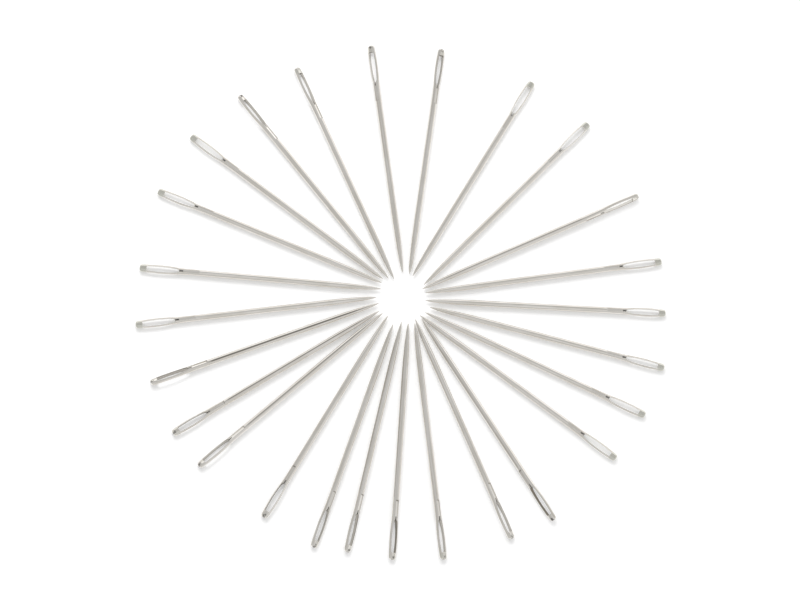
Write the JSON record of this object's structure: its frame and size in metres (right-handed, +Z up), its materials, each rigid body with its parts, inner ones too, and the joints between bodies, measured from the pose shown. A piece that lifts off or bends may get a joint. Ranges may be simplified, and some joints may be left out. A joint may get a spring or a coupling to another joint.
{
  "type": "yarn needle set",
  "caption": "Loose steel yarn needles laid in a ring with their points inward, each with a long eye, a lead-in gutter and a tapered point.",
  "frame": {"origin": "on the table, at the middle of the set's outline", "axes": "+Z up from the table, +Y towards the top of the picture's ring, +X to its right"},
  "size_m": [0.1532, 0.1544, 0.0024],
  "materials": {
    "nickel_steel": "nickel plate over steel wire, bright, with fine polishing lines along the needle"
  },
  "bodies": {
    "needle_01": {"needle_01": "nickel_steel"},
    "needle_02": {"needle_02": "nickel_steel"},
    "needle_03": {"needle_03": "nickel_steel"},
    "needle_04": {"needle_04": "nickel_steel"},
    "needle_05": {"needle_05": "nickel_steel"},
    "needle_06": {"needle_06": "nickel_steel"},
    "needle_07": {"needle_07": "nickel_steel"},
    "needle_08": {"needle_08": "nickel_steel"},
    "needle_09": {"needle_09": "nickel_steel"},
    "needle_10": {"needle_10": "nickel_steel"},
    "needle_11": {"needle_11": "nickel_steel"},
    "needle_12": {"needle_12": "nickel_steel"},
    "needle_13": {"needle_13": "nickel_steel"},
    "needle_14": {"needle_14": "nickel_steel"},
    "needle_15": {"needle_15": "nickel_steel"},
    "needle_16": {"needle_16": "nickel_steel"},
    "needle_17": {"needle_17": "nickel_steel"},
    "needle_18": {"needle_18": "nickel_steel"},
    "needle_19": {"needle_19": "nickel_steel"},
    "needle_20": {"needle_20": "nickel_steel"},
    "needle_21": {"needle_21": "nickel_steel"},
    "needle_22": {"needle_22": "nickel_steel"},
    "needle_23": {"needle_23": "nickel_steel"},
    "needle_24": {"needle_24": "nickel_steel"},
    "needle_25": {"needle_25": "nickel_steel"},
    "needle_26": {"needle_26": "nickel_steel"}
  },
  "joints": [
    {"name": "needle_02_lift", "type": "slide", "parent": "needle_01", "child": "needle_02", "axis": [0, 0, 1], "range_m": [0, 0.03]},
    {"name": "needle_03_lift", "type": "slide", "parent": "needle_01", "child": "needle_03", "axis": [0, 0, 1], "range_m": [0, 0.03]},
    {"name": "needle_04_lift", "type": "slide", "parent": "needle_01", "child": "needle_04", "axis": [0, 0, 1], "range_m": [0, 0.03]},
    {"name": "needle_05_lift", "type": "slide", "parent": "needle_01", "child": "needle_05", "axis": [0, 0, 1], "range_m": [0, 0.03]},
    {"name": "needle_06_lift", "type": "slide", "parent": "needle_01", "child": "needle_06", "axis": [0, 0, 1], "range_m": [0, 0.03]},
    {"name": "needle_07_lift", "type": "slide", "parent": "needle_01", "child": "needle_07", "axis": [0, 0, 1], "range_m": [0, 0.03]},
    {"name": "needle_08_lift", "type": "slide", "parent": "needle_01", "child": "needle_08", "axis": [0, 0, 1], "range_m": [0, 0.03]},
    {"name": "needle_09_lift", "type": "slide", "parent": "needle_01", "child": "needle_09", "axis": [0, 0, 1], "range_m": [0, 0.03]},
    {"name": "needle_10_lift", "type": "slide", "parent": "needle_01", "child": "needle_10", "axis": [0, 0, 1], "range_m": [0, 0.03]},
    {"name": "needle_11_lift", "type": "slide", "parent": "needle_01", "child": "needle_11", "axis": [0, 0, 1], "range_m": [0, 0.03]},
    {"name": "needle_12_lift", "type": "slide", "parent": "needle_01", "child": "needle_12", "axis": [0, 0, 1], "range_m": [0, 0.03]},
    {"name": "needle_13_lift", "type": "slide", "parent": "needle_01", "child": "needle_13", "axis": [0, 0, 1], "range_m": [0, 0.03]},
    {"name": "needle_14_lift", "type": "slide", "parent": "needle_01", "child": "needle_14", "axis": [0, 0, 1], "range_m": [0, 0.03]},
    {"name": "needle_15_lift", "type": "slide", "parent": "needle_01", "child": "needle_15", "axis": [0, 0, 1], "range_m": [0, 0.03]},
    {"name": "needle_16_lift", "type": "slide", "parent": "needle_01", "child": "needle_16", "axis": [0, 0, 1], "range_m": [0, 0.03]},
    {"name": "needle_17_lift", "type": "slide", "parent": "needle_01", "child": "needle_17", "axis": [0, 0, 1], "range_m": [0, 0.03]},
    {"name": "needle_18_lift", "type": "slide", "parent": "needle_01", "child": "needle_18", "axis": [0, 0, 1], "range_m": [0, 0.03]},
    {"name": "needle_19_lift", "type": "slide", "parent": "needle_01", "child": "needle_19", "axis": [0, 0, 1], "range_m": [0, 0.03]},
    {"name": "needle_20_lift", "type": "slide", "parent": "needle_01", "child": "needle_20", "axis": [0, 0, 1], "range_m": [0, 0.03]},
    {"name": "needle_21_lift", "type": "slide", "parent": "needle_01", "child": "needle_21", "axis": [0, 0, 1], "range_m": [0, 0.03]},
    {"name": "needle_22_lift", "type": "slide", "parent": "needle_01", "child": "needle_22", "axis": [0, 0, 1], "range_m": [0, 0.03]},
    {"name": "needle_23_lift", "type": "slide", "parent": "needle_01", "child": "needle_23", "axis": [0, 0, 1], "range_m": [0, 0.03]},
    {"name": "needle_24_lift", "type": "slide", "parent": "needle_01", "child": "needle_24", "axis": [0, 0, 1], "range_m": [0, 0.03]},
    {"name": "needle_25_lift", "type": "slide", "parent": "needle_01", "child": "needle_25", "axis": [0, 0, 1], "range_m": [0, 0.03]},
    {"name": "needle_26_lift", "type": "slide", "parent": "needle_01", "child": "needle_26", "axis": [0, 0, 1], "range_m": [0, 0.03]}
  ]
}
